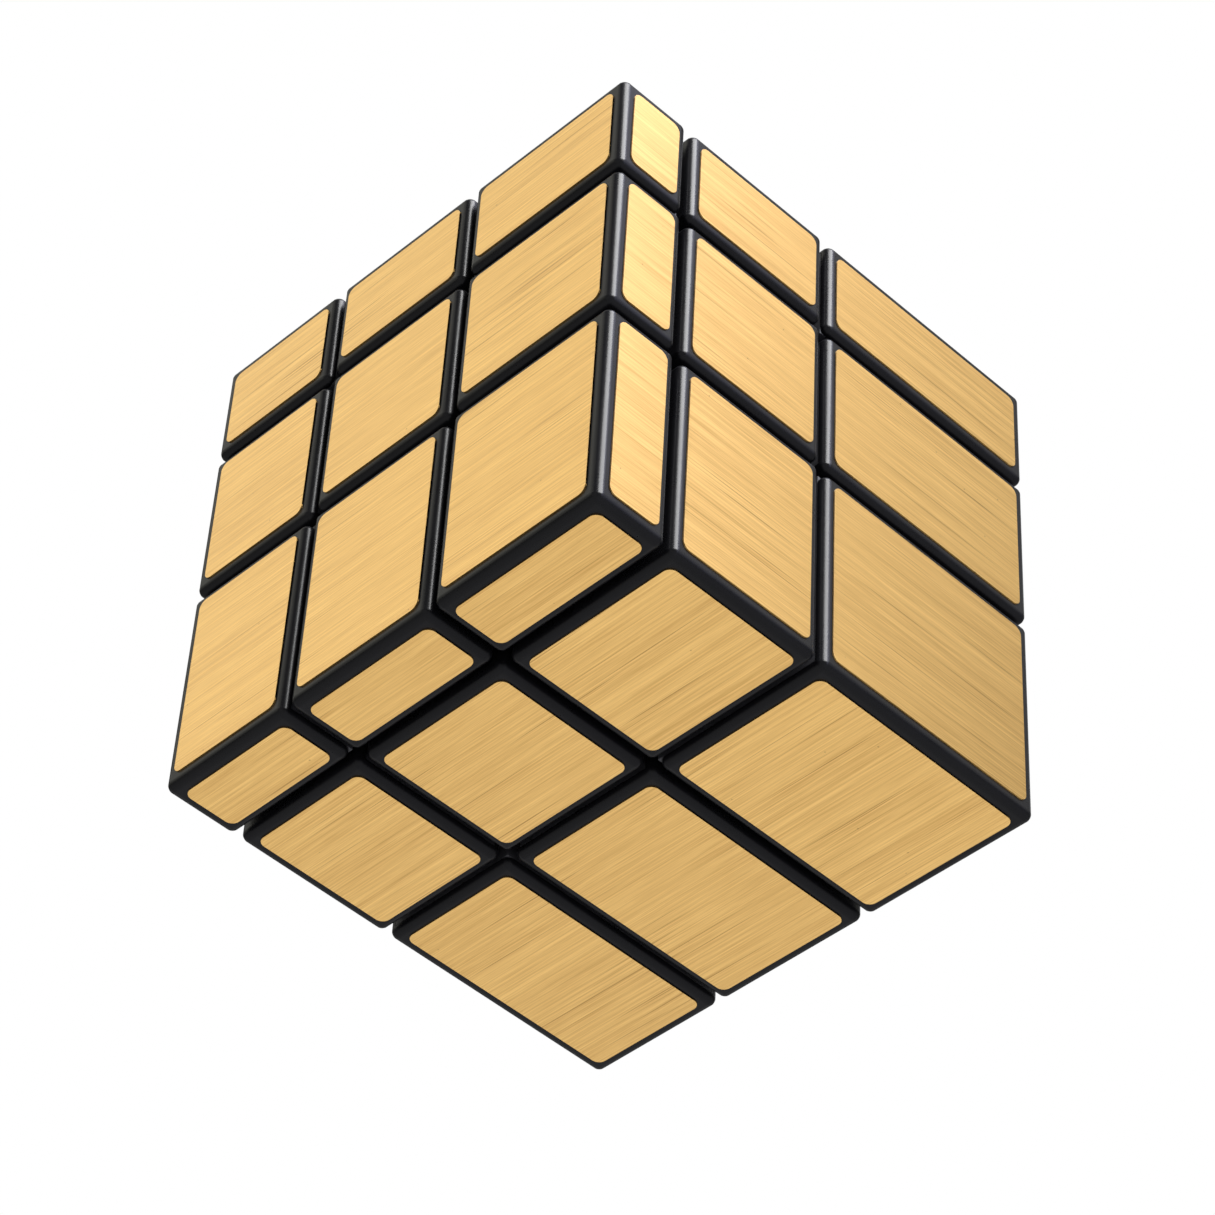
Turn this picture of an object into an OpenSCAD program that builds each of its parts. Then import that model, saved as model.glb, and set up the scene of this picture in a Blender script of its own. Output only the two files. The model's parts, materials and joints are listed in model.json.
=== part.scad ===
// Mirror block cube: a 3 x 3 x 3 twisting puzzle whose blocks all differ in size.
// The three turning axes cross at the core, so every layer has its own thickness.
// +X is the right face, -Y the front face and +Z the top face.

/* [Layers] */
// Thickness of the middle layer along every axis
middle_t = 19; // [18.9:0.05:19.1]
// Thickness of the right layer
right_t = 21; // [12:0.5:30]
// Thickness of the left layer
left_t = 17; // [12:0.5:30]
// Thickness of the front layer, the thinnest one
front_t = 9; // [9:0.5:30]
// Thickness of the back layer
back_t = 29; // [12:0.5:30]
// Thickness of the bottom layer
bottom_t = 25; // [12:0.5:30]
// Thickness of the top layer
top_t = 13; // [12:0.5:30]

/* [Shells] */
// Width of the groove between neighbouring blocks
groove_w = 0.7; // [0.6:0.05:0.9]
// Radius of the rounded block edges
edge_r = 0.9; // [0.4:0.05:0.9]
// Wall thickness of the shells
wall_t = 1; // [0.9:0.05:1]

/* [Foils] */
// Thickness of the brushed foils
foil_t = 0.15; // [0.1:0.01:0.16]
// Distance from a block's boundary to its foil
foil_inset = 1.5; // [1.4:0.05:2]
// Corner radius of the foils
foil_r = 0.9; // [0.5:0.05:1.2]

/* [Feet] */
// Radius from the core's centre at which the blocks narrow to their necks
neck_r = 19; // [18.9:0.05:19]
// Distance of the cuts between the necks from the core's centre
neck_cut = 7.5; // [7.4:0.05:7.6]
// Radius from the core's centre under which the feet spread out
foot_r = 15.3; // [15:0.1:15.5]
// Distance of the cuts between the feet from the core's centre
foot_cut = 5; // [4.9:0.05:5.1]
// Half of the play between necks and between feet
half_play = 0.15; // [0.15:0.01:0.18]

/* [Core] */
// Radius of the core's ball
ball_r = 6.3; // [5.5:0.1:6.5]
// Radius of the core's six arms
arm_r = 3.2; // [2.6:0.1:3.6]
// Length of an arm from the core's centre
arm_l = 9; // [8.5:0.1:9]

/* [Screws and springs] */
// Radius of the screw shanks
shank_r = 1.15; // [1:0.05:1.2]
// Radius of the screw heads
head_r = 2.6; // [2.3:0.05:2.8]
// Height of the screw heads
head_h = 1.6; // [1.3:0.05:1.8]
// Radius of the wire of the springs
wire_r = 0.28; // [0.2:0.01:0.3]
// Mean radius of the spring coils
coil_r = 2.3; // [2:0.05:2.5]
// Number of turns of a spring
coil_turns = 4.5; // [3:0.5:5]

/* [Hidden] */

black = "#141417";
dark = "#26262b";
gold = "#dcb06a";
steel = "#b9bcc2";

$fn = 48;
zone_fn = 96;
bevel_steps = 6;
corner_fn = 48;
corner_ease = 0.01;
SIDES = [-1, 1];
STEPS = [-1, 0, 1];
DIRECTIONS = [[1, 0, 0], [-1, 0, 0], [0, 1, 0], [0, -1, 0], [0, 0, 1], [0, 0, -1]];

// Cut planes of the outer blocks, and the plane where a block starts beside a groove
cut = middle_t / 2;
groove_h = groove_w / 2;

// Distance of the six faces from the core's centre, as [negative side, positive side]
FACES = [
    [cut + left_t, cut + right_t],
    [cut + front_t, cut + back_t],
    [cut + bottom_t, cut + top_t]
];
core_at = [
    (FACES[0][0] - FACES[0][1]) / 2,
    (FACES[1][0] - FACES[1][1]) / 2,
    FACES[2][0]
];

// Screws: the seat is the floor under the spring, the flange closes the tall caps, and
// a screw's thread starts at shank_from with some room under its tip
arm_gap = 0.2;
seat_t = 1.5;
seat_z = arm_l + arm_gap + seat_t;
spring_l = 4.1;
washer_t = 0.3;
washer_z = seat_z + spring_l;
head_z = washer_z + washer_t;
shank_from = 3.3;
tip_gap = 0.2;
thread_fit = 0.03;
turn_fit = 0.1;
pocket_r = 3.3;
washer_r = 2.8;
slot_w = 0.7;
slot_l = 3.2;
slot_h = 0.9;
flange_z = neck_r + 0.25;
flange_t = 1.2;

// Spring mesh: sides of the wire and rings in a turn
wire_sides = 5;
turn_rings = 10;
coil_rings = turn_rings * coil_turns;

// The blocks are named by their place: -1, 0 or 1 along X, Y and Z.
function face(axis, side) = FACES[axis][side < 0 ? 0 : 1];
function outward(place) = abs(place[0]) + abs(place[1]) + abs(place[2]);

// Span of a block along one axis: cuts at c, trimmed by h beside each cut, and its
// outer end at distance d from the core's centre
function span(s, c, h, d) = s == 0 ? [h - c, c - h] : s > 0 ? [c + h, d] : [-d, -c - h];
function low(spans) = [for (s = spans) s[0]];
function high(spans) = [for (s = spans) s[1]];

module at_core() { translate(core_at) children(); }

module box(a, b) { translate(a) cube(b - a); }

module span_box(spans) { box(low(spans), high(spans)); }

// The block between the grooves, without its rounding
function block_spans(place) =
    [for (a = [0:2]) span(place[a], cut, groove_h, face(a, place[a]) - foil_t)];

// The hollow of a shell: open towards the core, walled at the ends that face a groove
function hollow_spans(place) =
    [for (a = [0:2]) place[a] == 0
        ? span(0, cut, groove_h + wall_t, 0)
        : span(place[a], cut, groove_h - wall_t, face(a, place[a]) - foil_t - wall_t)];

// The walls that close a shell from inside fill this box, around the hollow above it
function plug_spans(place) =
    [for (a = [0:2]) place[a] == 0
        ? span(0, cut, groove_h + wall_t, 0)
        : span(place[a], cut, groove_h, face(a, place[a]) - foil_t - wall_t)];
function plug_hollow_spans(place) =
    [for (a = [0:2]) place[a] == 0
        ? span(0, cut, 0, 0)
        : span(place[a], cut, groove_h + wall_t, face(a, place[a]))];

// A zone's box has its own cut planes and reaches out to the distance d
function zone_spans(place, c, d) =
    [for (a = [0:2]) span(place[a], c, 2 * half_play, d)];

// Outline of a rectangle from a to b with its corners rounded in bevel_steps flats
function bevelled_outline(a, b, r) =
    [for (q = [0:3], i = [0:bevel_steps])
        let (angle = 90 * q + 90 * i / bevel_steps)
        [
            (q == 0 || q == 3 ? b[0] - r : a[0] + r) + r * cos(angle),
            (q == 0 || q == 1 ? b[1] - r : a[1] + r) + r * sin(angle)
        ]];

// What three rounded bars along X, Y and Z have in common: a box with rounded edges
// and pointed corners
module crossed_bars(a, b, r) {
    size = b - a;
    intersection() {
        translate([0, 0, a[2]]) linear_extrude(size[2])
            polygon(bevelled_outline([a[0], a[1]], [b[0], b[1]], r));
        translate([a[0], 0, 0]) rotate([90, 0, 90]) linear_extrude(size[0])
            polygon(bevelled_outline([a[1], a[2]], [b[1], b[2]], r));
        translate([0, b[1], 0]) rotate([90, 0, 0]) linear_extrude(size[1])
            polygon(bevelled_outline([a[0], a[2]], [b[0], b[2]], r));
    }
}

// The point of a corner outside its ball of radius r, towards the side [x, y, z]
module corner_point(side, r) {
    difference() {
        translate(r * (side - [1, 1, 1])) cube(2 * r);
        sphere(r = r + corner_ease, $fn = corner_fn);
    }
}

// Box with rounded edges and corners
module rounded_box(spans, r) {
    a = low(spans);
    b = high(spans);
    difference() {
        crossed_bars(a, b, r);
        for (x = SIDES, y = SIDES, z = SIDES) {
            side = [x, y, z];
            reach = [for (i = [0:2]) side[i] * ((b[i] - a[i]) / 2 - r)];
            translate((a + b) / 2 + reach) corner_point(side, r);
        }
    }
}

// The part of the sphere of radius r that a block keeps between the cut planes at c
module zone(place, r, c) {
    intersection() {
        span_box(zone_spans(place, c, r));
        sphere(r = r - half_play, $fn = zone_fn);
    }
}

// The part of that sphere that it leaves to its neighbours. A corner block turns with
// all three of its layers, so it leaves nothing.
module zone_cut(place, r, c) {
    if (outward(place) < 3) difference() {
        sphere(r = r + half_play, $fn = zone_fn);
        span_box(zone_spans(place, c, 2 * r));
    }
}

// Outer shell of a block: a rounded box that is open towards the core
module block_shell(place) {
    color(black) at_core() difference() {
        rounded_box(block_spans(place), edge_r);
        span_box(hollow_spans(place));
        zone_cut(place, neck_r, neck_cut);
    }
}

module corner_shell(place) { block_shell(place); }

module edge_shell(place) { block_shell(place); }

module centre_cap(place) { block_shell(place); }

// Inner part of an edge or corner block: the walls that close the shell, the neck that
// passes between its neighbours, and the foot that they hold down
module block_foot(place) {
    color(dark) at_core() difference() {
        union() {
            difference() {
                union() {
                    difference() {
                        span_box(plug_spans(place));
                        zone_cut(place, neck_r, neck_cut);
                    }
                    zone(place, neck_r, neck_cut);
                }
                zone_cut(place, foot_r, foot_cut);
            }
            zone(place, foot_r, foot_cut);
        }
        span_box(plug_hollow_spans(place));
    }
}

module edge_foot(place) { block_foot(place); }

module corner_feet(z) {
    for (x = SIDES, y = SIDES) block_foot([x, y, z]);
}

// Turns +Z towards the face that a place lies on
module towards(place) {
    rotate(place[0] != 0 ? [0, 90 * place[0], 0]
        : place[1] != 0 ? [-90 * place[1], 0, 0]
        : [place[2] < 0 ? 180 : 0, 0, 0]) children();
}

function axis_of(place) = place[0] != 0 ? 0 : place[1] != 0 ? 1 : 2;
function inner_face(place) =
    face(axis_of(place), place[axis_of(place)]) - foil_t - wall_t;

// Inner part of a centre block: it turns round its screw, on the end of the core's arm
module centre_base(place) {
    neck_half = neck_cut - 2 * half_play;
    foot_half = foot_cut - 2 * half_play;
    flange_half = cut - groove_h - wall_t;
    flanged = inner_face(place) > flange_z + flange_t;
    top_z = flanged ? flange_z + flange_t : inner_face(place);
    color(dark) at_core() towards(place) difference() {
        union() {
            difference() {
                box([-neck_half, -neck_half, neck_cut], [neck_half, neck_half, top_z]);
                sphere(r = foot_r + half_play, $fn = zone_fn);
            }
            box([-foot_half, -foot_half, arm_l + arm_gap], [foot_half, foot_half, foot_r]);
            if (flanged)
                box([-flange_half, -flange_half, flange_z],
                    [flange_half, flange_half, top_z]);
        }
        translate([0, 0, seat_z]) cylinder(h = top_z, r = pocket_r);
        cylinder(h = top_z, r = shank_r + turn_fit);
    }
}

// The six-armed core with a threaded hole in each arm
module core() {
    color(dark) at_core() difference() {
        union() {
            sphere(r = ball_r);
            for (f = DIRECTIONS) towards(f) cylinder(h = arm_l, r = arm_r);
        }
        for (f = DIRECTIONS)
            towards(f) translate([0, 0, shank_from - tip_gap])
                cylinder(h = arm_l, r = shank_r + thread_fit);
    }
}

module cross_slot() {
    for (turn = [0, 90])
        rotate(turn) translate([-slot_l / 2, -slot_w / 2, 0]) cube([slot_l, slot_w, head_h]);
}

module centre_screws() {
    color(steel) at_core() for (f = DIRECTIONS) towards(f) difference() {
        union() {
            translate([0, 0, shank_from]) cylinder(h = head_z - shank_from, r = shank_r);
            translate([0, 0, head_z]) cylinder(h = head_h, r = head_r);
        }
        translate([0, 0, head_z + head_h - slot_h]) cross_slot();
    }
}

module spring_washers() {
    color(steel) at_core() for (f = DIRECTIONS) towards(f)
        translate([0, 0, washer_z]) linear_extrude(washer_t) difference() {
            circle(r = washer_r);
            circle(r = shank_r + turn_fit);
        }
}

// One point of the coil's skin: ring i along the wire, corner k round it
function coil_point(i, k) =
    let (
        turn = 360 * i / turn_rings,
        corner = 360 * k / wire_sides,
        r = coil_r + wire_r * cos(corner),
        rise = (spring_l - 2 * wire_r) * i / coil_rings
    )
    [r * cos(turn), r * sin(turn), wire_r + rise + wire_r * sin(corner)];

module coil_spring() {
    rings = [for (i = [0:coil_rings], k = [0:wire_sides - 1]) coil_point(i, k)];
    last = coil_rings * wire_sides;
    sides = [for (i = [0:coil_rings - 1], k = [0:wire_sides - 1])
        let (a = i * wire_sides + k, b = i * wire_sides + (k + 1) % wire_sides)
        [a, a + wire_sides, b + wire_sides, b]];
    ends = [
        [for (k = [0:wire_sides - 1]) k],
        [for (k = [wire_sides - 1:-1:0]) last + k]
    ];
    polyhedron(points = rings, faces = concat(sides, ends), convexity = 6);
}

module centre_springs() {
    color(steel) at_core() for (f = DIRECTIONS) towards(f)
        translate([0, 0, seat_z]) coil_spring();
}

// A foil is a thin plate with rounded corners, from corner a to corner b
module rounded_rect(w, h, r) {
    translate([r, 0]) square([w - 2 * r, h]);
    translate([0, r]) square([w, h - 2 * r]);
    for (x = [r, w - r], y = [r, h - r]) translate([x, y]) circle(r = r);
}

module foil_plate(axis, a, b) {
    size = b - a;
    if (axis == 0)
        translate(a) rotate([90, 0, 90])
            linear_extrude(size[0]) rounded_rect(size[1], size[2], foil_r);
    if (axis == 1)
        translate([a[0], b[1], a[2]]) rotate([90, 0, 0])
            linear_extrude(size[1]) rounded_rect(size[0], size[2], foil_r);
    if (axis == 2)
        translate(a) linear_extrude(size[2]) rounded_rect(size[0], size[1], foil_r);
}

function foil_span(s, d) = s == 0
    ? [foil_inset - cut, cut - foil_inset]
    : s > 0 ? [cut + foil_inset, d - foil_inset] : [foil_inset - d, -cut - foil_inset];

// The foil on the side of a block that faces along an axis
module foil(place, axis) {
    spans = [for (a = [0:2]) a == axis
        ? (place[a] > 0 ? [face(a, 1) - foil_t, face(a, 1)] : [-face(a, -1), foil_t - face(a, -1)])
        : foil_span(place[a], face(a, place[a]))];
    color(gold) at_core() foil_plate(axis, low(spans), high(spans));
}

module centre_foil(place) { foil(place, axis_of(place)); }

// The foils on the four sides of a layer, without those of the centre blocks
module side_foils(z) {
    for (s = SIDES, t = STEPS)
        if (t != 0 || z != 0) {
            foil([s, t, z], 0);
            foil([t, s, z], 1);
        }
}

// The foils on top of the upper layer or under the lower layer, round its centre block
module face_foils(z) {
    for (x = STEPS, y = STEPS)
        if (x != 0 || y != 0) foil([x, y, z], 2);
}

module upper_foils() {
    side_foils(1);
    face_foils(1);
}

module middle_foils() { side_foils(0); }

module lower_foils() { side_foils(-1); }

module bottom_foils() { face_foils(-1); }

core();
centre_screws();
spring_washers();
centre_springs();

centre_base([1, 0, 0]);  // centre_base_right
centre_base([-1, 0, 0]);  // centre_base_left
centre_base([0, -1, 0]);  // centre_base_front
centre_base([0, 1, 0]);  // centre_base_back
centre_base([0, 0, 1]);  // centre_base_top
centre_base([0, 0, -1]);  // centre_base_bottom

centre_cap([1, 0, 0]);  // centre_cap_right
centre_cap([-1, 0, 0]);  // centre_cap_left
centre_cap([0, -1, 0]);  // centre_cap_front
centre_cap([0, 1, 0]);  // centre_cap_back
centre_cap([0, 0, 1]);  // centre_cap_top
centre_cap([0, 0, -1]);  // centre_cap_bottom

centre_foil([1, 0, 0]);  // centre_foil_right
centre_foil([-1, 0, 0]);  // centre_foil_left
centre_foil([0, -1, 0]);  // centre_foil_front
centre_foil([0, 1, 0]);  // centre_foil_back
centre_foil([0, 0, 1]);  // centre_foil_top
centre_foil([0, 0, -1]);  // centre_foil_bottom

edge_shell([0, -1, 1]);  // edge_shell_top_front
edge_shell([0, 1, 1]);  // edge_shell_top_back
edge_shell([-1, 0, 1]);  // edge_shell_top_left
edge_shell([1, 0, 1]);  // edge_shell_top_right
edge_shell([-1, -1, 0]);  // edge_shell_front_left
edge_shell([1, -1, 0]);  // edge_shell_front_right
edge_shell([-1, 1, 0]);  // edge_shell_back_left
edge_shell([1, 1, 0]);  // edge_shell_back_right
edge_shell([0, -1, -1]);  // edge_shell_bottom_front
edge_shell([0, 1, -1]);  // edge_shell_bottom_back
edge_shell([-1, 0, -1]);  // edge_shell_bottom_left
edge_shell([1, 0, -1]);  // edge_shell_bottom_right

edge_foot([0, -1, 1]);  // edge_foot_top_front
edge_foot([0, 1, 1]);  // edge_foot_top_back
edge_foot([-1, 0, 1]);  // edge_foot_top_left
edge_foot([1, 0, 1]);  // edge_foot_top_right
edge_foot([-1, -1, 0]);  // edge_foot_front_left
edge_foot([1, -1, 0]);  // edge_foot_front_right
edge_foot([-1, 1, 0]);  // edge_foot_back_left
edge_foot([1, 1, 0]);  // edge_foot_back_right
edge_foot([0, -1, -1]);  // edge_foot_bottom_front
edge_foot([0, 1, -1]);  // edge_foot_bottom_back
edge_foot([-1, 0, -1]);  // edge_foot_bottom_left
edge_foot([1, 0, -1]);  // edge_foot_bottom_right

corner_shell([-1, -1, 1]);  // corner_shell_top_front_left
corner_shell([1, -1, 1]);  // corner_shell_top_front_right
corner_shell([-1, 1, 1]);  // corner_shell_top_back_left
corner_shell([1, 1, 1]);  // corner_shell_top_back_right
corner_shell([-1, -1, -1]);  // corner_shell_bottom_front_left
corner_shell([1, -1, -1]);  // corner_shell_bottom_front_right
corner_shell([-1, 1, -1]);  // corner_shell_bottom_back_left
corner_shell([1, 1, -1]);  // corner_shell_bottom_back_right

corner_feet(1);  // upper_corner_feet
corner_feet(-1);  // lower_corner_feet

upper_foils();
middle_foils();
lower_foils();
bottom_foils();
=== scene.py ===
"""Looks of the mirror block cube: brushed gold foils on satin black blocks."""
import json
import math

import bmesh
import bpy
from mathutils import Matrix, Vector

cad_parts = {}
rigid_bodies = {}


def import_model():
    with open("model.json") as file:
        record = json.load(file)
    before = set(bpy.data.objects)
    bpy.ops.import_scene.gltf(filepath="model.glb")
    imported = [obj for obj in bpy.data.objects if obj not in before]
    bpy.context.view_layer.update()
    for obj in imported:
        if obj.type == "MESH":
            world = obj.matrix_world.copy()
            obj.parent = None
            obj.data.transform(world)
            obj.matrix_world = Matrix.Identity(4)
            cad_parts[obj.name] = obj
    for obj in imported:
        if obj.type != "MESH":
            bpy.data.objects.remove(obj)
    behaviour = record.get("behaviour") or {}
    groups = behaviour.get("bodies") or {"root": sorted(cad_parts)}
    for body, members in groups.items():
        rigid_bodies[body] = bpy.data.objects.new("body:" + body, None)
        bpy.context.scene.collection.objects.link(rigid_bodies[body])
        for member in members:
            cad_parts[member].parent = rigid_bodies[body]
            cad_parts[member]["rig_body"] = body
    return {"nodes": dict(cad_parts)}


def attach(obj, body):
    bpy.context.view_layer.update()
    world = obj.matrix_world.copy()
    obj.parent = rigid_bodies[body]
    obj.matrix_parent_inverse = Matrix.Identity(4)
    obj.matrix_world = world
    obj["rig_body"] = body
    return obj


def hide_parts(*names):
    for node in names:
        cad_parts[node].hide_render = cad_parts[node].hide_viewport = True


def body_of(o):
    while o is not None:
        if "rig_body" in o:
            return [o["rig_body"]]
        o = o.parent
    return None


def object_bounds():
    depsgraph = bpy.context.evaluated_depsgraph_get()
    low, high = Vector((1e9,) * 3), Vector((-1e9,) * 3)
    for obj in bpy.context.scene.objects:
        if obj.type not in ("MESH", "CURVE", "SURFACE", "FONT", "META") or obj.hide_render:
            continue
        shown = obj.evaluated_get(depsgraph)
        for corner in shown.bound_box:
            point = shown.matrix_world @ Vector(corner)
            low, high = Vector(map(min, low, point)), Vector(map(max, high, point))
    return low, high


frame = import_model()
CAD_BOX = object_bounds()

MM = 0.001

# The view: from below, on the corner between the front (-Y) and right (+X) faces
VIEW_AZIMUTH = 47.585
VIEW_ELEVATION = -44.031
VIEW_ROLL = 3.637
VIEW_DISTANCE = 399.6 * MM
VIEW_AIM = Vector((-1.43, 0.94, -1.2)) * MM
LENS = 122.46
SENSOR = 36.0

# The foils: corner radius, the small rounding of the cut edge, and points per round corner
FOIL_CORNER = 0.9 * MM
FOIL_RIM = 0.02 * MM
CORNER_STEPS = 8

# Points closer than this count as one, when solids are told apart and when facets are joined
SAME_POINT = 0.0001 * MM
WELD = 0.001 * MM

# How far each side's brush pattern is moved, so that no two sides look the same
AXIS_SHIFT = 0.37
SIDE_SHIFT = 0.11

FLOOR_DROP = 0.32
FLOOR_SIZE = 14.0

# Distance of the lamps from the object, and of the lamp that lights only the floor
LAMP_DISTANCE = 0.8
POOL_DISTANCE = 0.25

# Strength of the white room as the camera sees it, and as a light
ROOM_SEEN = 1.0
ROOM_FILL = 0.12
WHITE = (1, 1, 1, 1)

FOIL_NODES = ["upper_foils", "middle_foils", "lower_foils", "bottom_foils"] + [
    f"centre_foil_{face}" for face in ("right", "left", "front", "back", "top", "bottom")]


def box_centre():
    low, high = CAD_BOX
    return (Vector(low) + Vector(high)) / 2


def direction(azimuth, elevation):
    """Unit vector from the object towards a viewer at that azimuth and elevation."""
    a, e = math.radians(azimuth), math.radians(elevation)
    return Vector((math.sin(a) * math.cos(e), -math.cos(a) * math.cos(e), math.sin(e)))


# ---------------------------------------------------------------- camera and studio

def make_camera():
    data = bpy.data.cameras.new("camera")
    data.sensor_width = SENSOR
    data.lens = LENS
    data.clip_start = 0.01
    data.clip_end = 50
    camera = bpy.data.objects.new("camera", data)
    towards = direction(VIEW_AZIMUTH, VIEW_ELEVATION)
    place = Matrix.Translation(box_centre() + VIEW_AIM + towards * VIEW_DISTANCE)
    turn = towards.to_track_quat("Z", "Y").to_matrix().to_4x4()
    roll = Matrix.Rotation(math.radians(VIEW_ROLL), 4, "Z")
    camera.matrix_world = place @ turn @ roll
    bpy.context.scene.collection.objects.link(camera)
    bpy.context.scene.camera = camera


def softbox(name, azimuth, elevation, size, power, colour=(1, 1, 1), distance=LAMP_DISTANCE):
    """A rectangular area light that faces the object."""
    light = bpy.data.lights.new(name, "AREA")
    light.shape = "RECTANGLE"
    light.size, light.size_y = size
    light.energy = power
    light.color = colour
    lamp = bpy.data.objects.new(name, light)
    towards = direction(azimuth, elevation)
    place = Matrix.Translation(box_centre() + towards * distance)
    lamp.matrix_world = place @ towards.to_track_quat("Z", "Y").to_matrix().to_4x4()
    bpy.context.scene.collection.objects.link(lamp)
    return lamp


def make_world():
    """A white room: bright to the camera, dimmer as a light."""
    world = bpy.data.worlds.new("studio")
    world.use_nodes = True
    bpy.context.scene.world = world
    nodes, links = world.node_tree.nodes, world.node_tree.links
    nodes.clear()
    output = nodes.new("ShaderNodeOutputWorld")
    seen = nodes.new("ShaderNodeBackground")
    seen.inputs["Color"].default_value = WHITE
    seen.inputs["Strength"].default_value = ROOM_SEEN
    fill = nodes.new("ShaderNodeBackground")
    fill.inputs["Color"].default_value = WHITE
    fill.inputs["Strength"].default_value = ROOM_FILL
    path = nodes.new("ShaderNodeLightPath")
    mix = nodes.new("ShaderNodeMixShader")
    links.new(path.outputs["Is Camera Ray"], mix.inputs["Fac"])
    links.new(fill.outputs[0], mix.inputs[1])
    links.new(seen.outputs[0], mix.inputs[2])
    links.new(mix.outputs[0], output.inputs["Surface"])


# ---------------------------------------------------------------- materials

class Material:
    """A node material under construction, with one Principled shader."""

    def __init__(self, name):
        self.material = bpy.data.materials.new(name)
        self.material.use_nodes = True
        self.nodes = self.material.node_tree.nodes
        self.links = self.material.node_tree.links
        self.nodes.clear()
        output = self.nodes.new("ShaderNodeOutputMaterial")
        self.shader = self.nodes.new("ShaderNodeBsdfPrincipled")
        self.links.new(self.shader.outputs[0], output.inputs["Surface"])

    def put(self, socket, value):
        """Sets a socket to a number or colour, or links a node's output to it."""
        if isinstance(value, bpy.types.NodeSocket):
            self.links.new(value, socket)
        else:
            socket.default_value = value

    def set(self, **values):
        for name, value in values.items():
            self.put(self.shader.inputs[name.replace("_", " ")], value)

    def place(self):
        return self.nodes.new("ShaderNodeTexCoord").outputs["Object"]

    def uv(self, name):
        node = self.nodes.new("ShaderNodeUVMap")
        node.uv_map = name
        return node.outputs["UV"]

    def scaled(self, vector, scale, offset=(0, 0, 0)):
        node = self.nodes.new("ShaderNodeMapping")
        node.inputs["Scale"].default_value = scale
        node.inputs["Location"].default_value = offset
        self.links.new(vector, node.inputs["Vector"])
        return node.outputs["Vector"]

    def noise(self, vector, scale, detail=2.0, roughness=0.5):
        node = self.nodes.new("ShaderNodeTexNoise")
        node.inputs["Scale"].default_value = scale
        node.inputs["Detail"].default_value = detail
        node.inputs["Roughness"].default_value = roughness
        self.links.new(vector, node.inputs["Vector"])
        return node.outputs["Fac"]

    def cells(self, vector, scale):
        node = self.nodes.new("ShaderNodeTexVoronoi")
        node.inputs["Scale"].default_value = scale
        self.links.new(vector, node.inputs["Vector"])
        return node.outputs["Distance"]

    def fit(self, value, low, high, to_low=0.0, to_high=1.0):
        """Maps low..high to to_low..to_high, and holds it there outside."""
        node = self.nodes.new("ShaderNodeMapRange")
        for name, number in (("From Min", low), ("From Max", high),
                             ("To Min", to_low), ("To Max", to_high)):
            node.inputs[name].default_value = number
        self.links.new(value, node.inputs["Value"])
        return node.outputs["Result"]

    def math(self, operation, a, b):
        node = self.nodes.new("ShaderNodeMath")
        node.operation = operation
        self.put(node.inputs[0], a)
        self.put(node.inputs[1], b)
        return node.outputs[0]

    def mix(self, factor, a, b, blend="MIX"):
        node = self.nodes.new("ShaderNodeMix")
        node.data_type = "RGBA"
        node.blend_type = blend
        self.put(node.inputs["Factor"], factor)
        self.put(node.inputs[6], a)
        self.put(node.inputs[7], b)
        return node.outputs[2]

    def bump(self, height, strength, distance):
        node = self.nodes.new("ShaderNodeBump")
        node.inputs["Strength"].default_value = strength
        node.inputs["Distance"].default_value = distance
        self.links.new(height, node.inputs["Height"])
        return node.outputs["Normal"]


def brushed_foil():
    """Gold film with fine straight brush lines. Its UV map runs across the lines (U) and
    along them (V), in metres, and goes on from foil to foil across a face. Stretched noises
    make fine lines, short ones, dark hairs and broad bands."""
    m = Material("brushed_gold_foil")
    uv = m.uv("brush")
    fine = m.noise(m.scaled(uv, (1, 0.004, 1)), 6400, 2, 0.6)
    short = m.noise(m.scaled(uv, (1, 0.03, 1), (1.3, 0, 0)), 5200, 2, 0.6)
    hair = m.noise(m.scaled(uv, (1, 0.008, 1), (3.1, 0, 0)), 4300, 1, 0.5)
    bands = m.noise(m.scaled(uv, (1, 0.02, 1), (7.7, 0, 0)), 800, 2, 0.5)
    cloud = m.noise(uv, 90, 3, 0.5)
    deep = m.fit(hair, 0.27, 0.34, 1, 0)
    tone = m.math("ADD", m.math("MULTIPLY", fine, 0.5),
                  m.math("ADD", m.math("MULTIPLY", short, 0.3), m.math("MULTIPLY", bands, 0.2)))
    tone = m.fit(tone, 0.37, 0.63)
    colour = m.mix(tone, (0.67, 0.39, 0.110, 1), (0.99, 0.64, 0.215, 1))
    colour = m.mix(m.math("MULTIPLY", deep, 0.7), colour, (0.36, 0.19, 0.045, 1))
    colour = m.mix(m.fit(cloud, 0.3, 0.7, 0, 0.08), colour, (0.78, 0.48, 0.15, 1))
    speck = m.fit(m.cells(uv, 300), 0.02, 0.035, 0.55, 0)
    colour = m.mix(speck, colour, (0.30, 0.16, 0.05, 1))
    rough = m.math("ADD", m.fit(fine, 0.3, 0.7, 0.29, 0.41), m.math("MULTIPLY", deep, 0.06))
    relief = m.math("ADD", m.math("MULTIPLY", fine, 0.5), m.math("MULTIPLY", hair, 0.5))
    tangent = m.nodes.new("ShaderNodeTangent")
    tangent.direction_type = "UV_MAP"
    tangent.uv_map = "brush"
    m.set(Base_Color=colour, Metallic=1.0, Roughness=rough, Anisotropic=0.8,
          Tangent=tangent.outputs[0], Normal=m.bump(relief, 0.45, 0.00002))
    m.set(Coat_Weight=0.35, Coat_Roughness=0.2, Coat_IOR=1.45)
    return m.material


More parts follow.
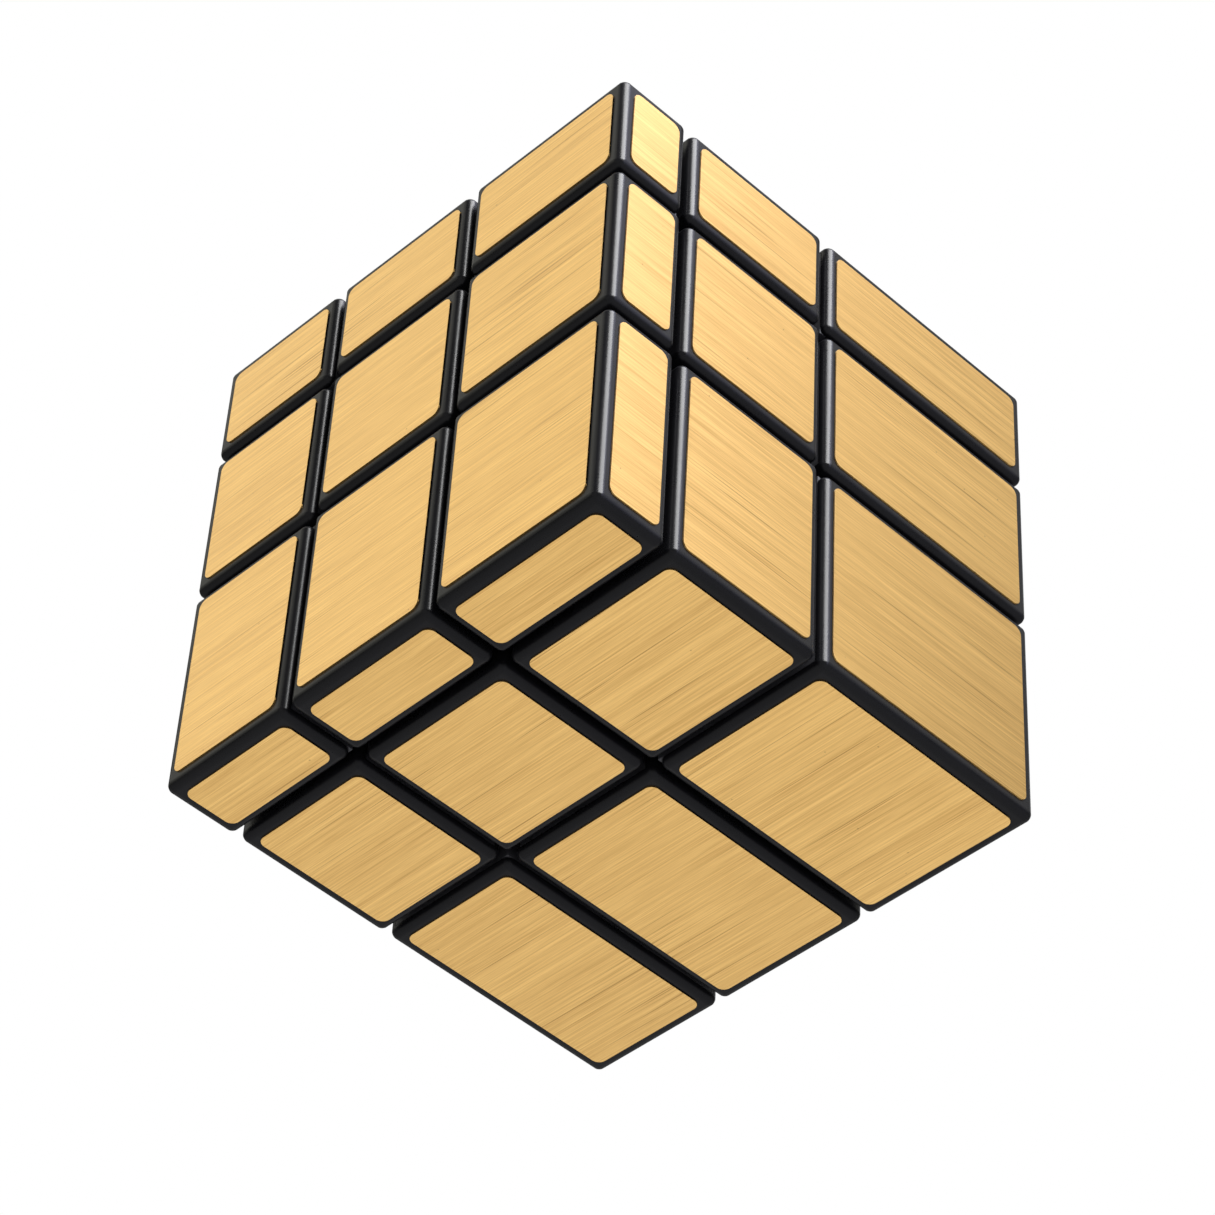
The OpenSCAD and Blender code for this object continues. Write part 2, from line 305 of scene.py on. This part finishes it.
def satin_plastic():
    """Moulded black ABS with a soft gloss and a barely visible grain."""
    m = Material("black_shell")
    place = m.place()
    grain = m.noise(place, 3200, 3, 0.6)
    haze = m.noise(place, 160, 3, 0.5)
    colour = m.mix(haze, (0.003, 0.003, 0.0035, 1), (0.005, 0.005, 0.006, 1))
    rough = m.math("ADD", m.fit(haze, 0.3, 0.7, 0.26, 0.32), m.fit(grain, 0.3, 0.7, -0.02, 0.02))
    m.set(Base_Color=colour, Roughness=rough, Specular_IOR_Level=0.13,
          Normal=m.bump(grain, 0.04, 0.000006))
    return m.material


def matt_plastic():
    """Black inside of the blocks, with the dull skin of a spark-eroded mould."""
    m = Material("black_mechanism")
    place = m.place()
    grain = m.noise(place, 1800, 4, 0.65)
    haze = m.noise(place, 120, 2, 0.5)
    colour = m.mix(haze, (0.018, 0.018, 0.021, 1), (0.030, 0.030, 0.034, 1))
    m.set(Base_Color=colour, Roughness=m.fit(grain, 0.3, 0.7, 0.48, 0.62),
          Normal=m.bump(grain, 0.3, 0.00002))
    return m.material


def turned_steel():
    """Bare steel of the screws, washers and springs, with fine marks from making them."""
    m = Material("spring_steel")
    place = m.place()
    marks = m.noise(m.scaled(place, (1, 1, 6)), 900, 3, 0.6)
    stain = m.noise(place, 300, 2, 0.5)
    colour = m.mix(stain, (0.46, 0.47, 0.49, 1), (0.62, 0.63, 0.65, 1))
    m.set(Base_Color=colour, Metallic=1.0, Roughness=m.fit(marks, 0.3, 0.7, 0.22, 0.38),
          Normal=m.bump(marks, 0.15, 0.00001))
    return m.material


def floor_paper():
    """Plain paper that glows a little, so that it stays pale away from the lamps."""
    m = Material("floor_paper")
    fibre = m.noise(m.place(), 60, 4, 0.6)
    colour = m.mix(fibre, (0.43, 0.43, 0.43, 1), (0.47, 0.47, 0.47, 1))
    m.set(Base_Color=colour, Roughness=m.fit(fibre, 0.3, 0.7, 0.75, 0.85),
          Specular_IOR_Level=0.2, Normal=m.bump(fibre, 0.05, 0.0002))
    m.set(Emission_Color=WHITE, Emission_Strength=0.5)
    return m.material


# ---------------------------------------------------------------- foils

def separate_boxes(node):
    """The box of each separate solid in a CAD node, as (low, high) corners."""
    shape = bmesh.new()
    shape.from_mesh(frame["nodes"][node].data)
    bmesh.ops.remove_doubles(shape, verts=shape.verts, dist=SAME_POINT)
    left = set(shape.verts)
    boxes = []
    while left:
        group, edge = set(), [next(iter(left))]
        while edge:
            vertex = edge.pop()
            if vertex in group:
                continue
            group.add(vertex)
            edge.extend(e.other_vert(vertex) for e in vertex.link_edges)
        left -= group
        points = [v.co for v in group]
        boxes.append((Vector([min(p[a] for p in points) for a in range(3)]),
                      Vector([max(p[a] for p in points) for a in range(3)])))
    shape.free()
    return sorted(boxes, key=lambda b: tuple(round(c, 6) for c in b[0] + b[1]))


def rounded_outline(low, high, inset):
    """Points round a rectangle with round corners, moved inwards by inset."""
    radius = FOIL_CORNER - inset
    points = []
    for quarter, (x, y) in enumerate([(1, 1), (0, 1), (0, 0), (1, 0)]):
        cx = high[0] - FOIL_CORNER if x else low[0] + FOIL_CORNER
        cy = high[1] - FOIL_CORNER if y else low[1] + FOIL_CORNER
        for step in range(CORNER_STEPS + 1):
            angle = math.radians(90 * quarter + 90 * step / CORNER_STEPS)
            points.append((cx + radius * math.cos(angle), cy + radius * math.sin(angle)))
    return points


def add_plate(shape, low, high, thin, flat, outwards):
    """Adds a flat plate with round corners, whose outer rim is rounded over."""
    outer, inner = (high[thin], low[thin]) if outwards > 0 else (low[thin], high[thin])
    drop = FOIL_RIM * (1 - math.sqrt(0.5))
    # Inset and level of each ring of points, from the inner face to the outer one
    rings = [(0, inner), (0, outer - outwards * FOIL_RIM), (drop, outer - outwards * drop),
             (FOIL_RIM, outer)]
    loops = []
    for inset, level in rings:
        ring = []
        for x, y in rounded_outline([low[a] for a in flat], [high[a] for a in flat], inset):
            point = [0, 0, 0]
            point[flat[0]], point[flat[1]], point[thin] = x, y, level
            ring.append(shape.verts.new(point))
        loops.append(ring)
    count = len(loops[0])
    shape.faces.new(loops[0])
    shape.faces.new(loops[-1])
    for a, b in zip(loops, loops[1:]):
        for i in range(count):
            side = shape.faces.new((a[i], a[(i + 1) % count], b[(i + 1) % count], b[i]))
            side.smooth = a is not loops[0]
    bmesh.ops.recalc_face_normals(shape, faces=shape.faces)


def map_brush_lines(shape, thin, flat, outwards):
    """Adds the UV map that brushed_foil reads. The lines run along X, or along Y on the sides
    that face along X."""
    along = 1 if thin == 0 else 0
    across = next(a for a in flat if a != along)
    layer = shape.loops.layers.uv.new("brush")
    shift = (1 + thin) * AXIS_SHIFT + outwards * SIDE_SHIFT
    for face in shape.faces:
        for loop in face.loops:
            loop[layer].uv = (loop.vert.co[across] + shift, loop.vert.co[along])


def make_foil(name, low, high, material):
    """A foil that fills the box from low to high."""
    size = high - low
    thin = min(range(3), key=lambda a: size[a])
    flat = [a for a in range(3) if a != thin]
    outwards = 1 if (low + high)[thin] / 2 > box_centre()[thin] else -1
    shape = bmesh.new()
    add_plate(shape, low, high, thin, flat, outwards)
    map_brush_lines(shape, thin, flat, outwards)
    mesh = bpy.data.meshes.new(name)
    shape.to_mesh(mesh)
    shape.free()
    mesh.materials.append(material)
    foil = bpy.data.objects.new(name, mesh)
    bpy.context.scene.collection.objects.link(foil)
    return foil


def make_foils(material):
    for node in FOIL_NODES:
        body = body_of(frame["nodes"][node])[0]
        for number, (low, high) in enumerate(separate_boxes(node), 1):
            foil = make_foil(f"{node}_{number:02d}", low, high, material)
            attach(foil, body)
            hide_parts(node)


# ---------------------------------------------------------------- CAD pieces

def soft_shading():
    """The nodes of a modifier that shades a whole mesh smooth."""
    group = bpy.data.node_groups.new("smooth_shading", "GeometryNodeTree")
    group.interface.new_socket("Geometry", in_out="INPUT", socket_type="NodeSocketGeometry")
    group.interface.new_socket("Geometry", in_out="OUTPUT", socket_type="NodeSocketGeometry")
    start = group.nodes.new("NodeGroupInput")
    smooth = group.nodes.new("GeometryNodeSetShadeSmooth")
    end = group.nodes.new("NodeGroupOutput")
    group.links.new(start.outputs[0], smooth.inputs[0])
    group.links.new(smooth.outputs[0], end.inputs[0])
    return group


def dress_cad_nodes():
    """Gives the CAD pieces their materials, and the shells smooth edges between flat faces."""
    shell, inside, steel = satin_plastic(), matt_plastic(), turned_steel()
    shading = soft_shading()
    for name, piece in frame["nodes"].items():
        if name in FOIL_NODES:
            continue
        if "shell" in name or "cap" in name:
            material = shell
        elif name in ("centre_screws", "spring_washers", "centre_springs"):
            material = steel
        else:
            material = inside
        for slot in piece.material_slots:
            slot.material = material
        if material is shell:
            weld = piece.modifiers.new("weld", "WELD")
            weld.merge_threshold = WELD
            nodes = piece.modifiers.new("smooth", "NODES")
            nodes.node_group = shading
            normals = piece.modifiers.new("normals", "WEIGHTED_NORMAL")
            normals.mode = "FACE_AREA"
            normals.weight = 100


# ---------------------------------------------------------------- floor and lights

def make_floor():
    half = FLOOR_SIZE / 2
    level = CAD_BOX[0][2] - FLOOR_DROP
    mesh = bpy.data.meshes.new("floor")
    mesh.from_pydata([(-half, -half, level), (half, -half, level), (half, half, level),
                      (-half, half, level)], [], [(0, 1, 2, 3)])
    mesh.materials.append(floor_paper())
    floor = bpy.data.objects.new("floor", mesh)
    bpy.context.scene.collection.objects.link(floor)
    return floor


def only_for(lamp, pieces):
    """Lets a light shine on these pieces alone."""
    lit = bpy.data.collections.new("lit_by_" + lamp.name)
    for piece in pieces:
        lit.objects.link(piece)
    lamp.light_linking.receiver_collection = lit


def make_lights(floor):
    """Broad soft boxes, a strip that makes the glints along the blocks' rounded edges but
    would dazzle in the foils, and a pool of light on the floor, which the bottom mirrors."""
    softbox("softbox_left", -38, 34, (0.8, 0.8), 2.1, (1, 0.985, 0.87))
    softbox("softbox_right", 105, 38, (0.8, 0.8), 1.65, (1, 0.985, 0.85))
    softbox("softbox_near_right", 101, 36, (0.46, 1.5), 5.2, (0.92, 0.95, 1.4))
    softbox("softbox_back", 176, 30, (0.8, 0.6), 0.5)
    softbox("softbox_back_left", -139, 30, (0.8, 0.6), 0.5)
    softbox("softbox_front", 12, 3, (0.8, 0.5), 0.6)
    softbox("softbox_top", 0, 88, (0.8, 0.8), 1.0)
    strip = softbox("strip_right", 77, 45, (0.43, 0.6), 19.5)
    only_for(strip, [p for n, p in frame["nodes"].items() if n not in FOIL_NODES])
    pool = softbox("floor_pool", 0, 89, (0.3, 0.3), 1.5, distance=POOL_DISTANCE)
    only_for(pool, [floor])


bpy.context.scene.view_settings.view_transform = "Standard"
make_camera()
make_world()
make_lights(make_floor())
make_foils(brushed_foil())
dress_cad_nodes()
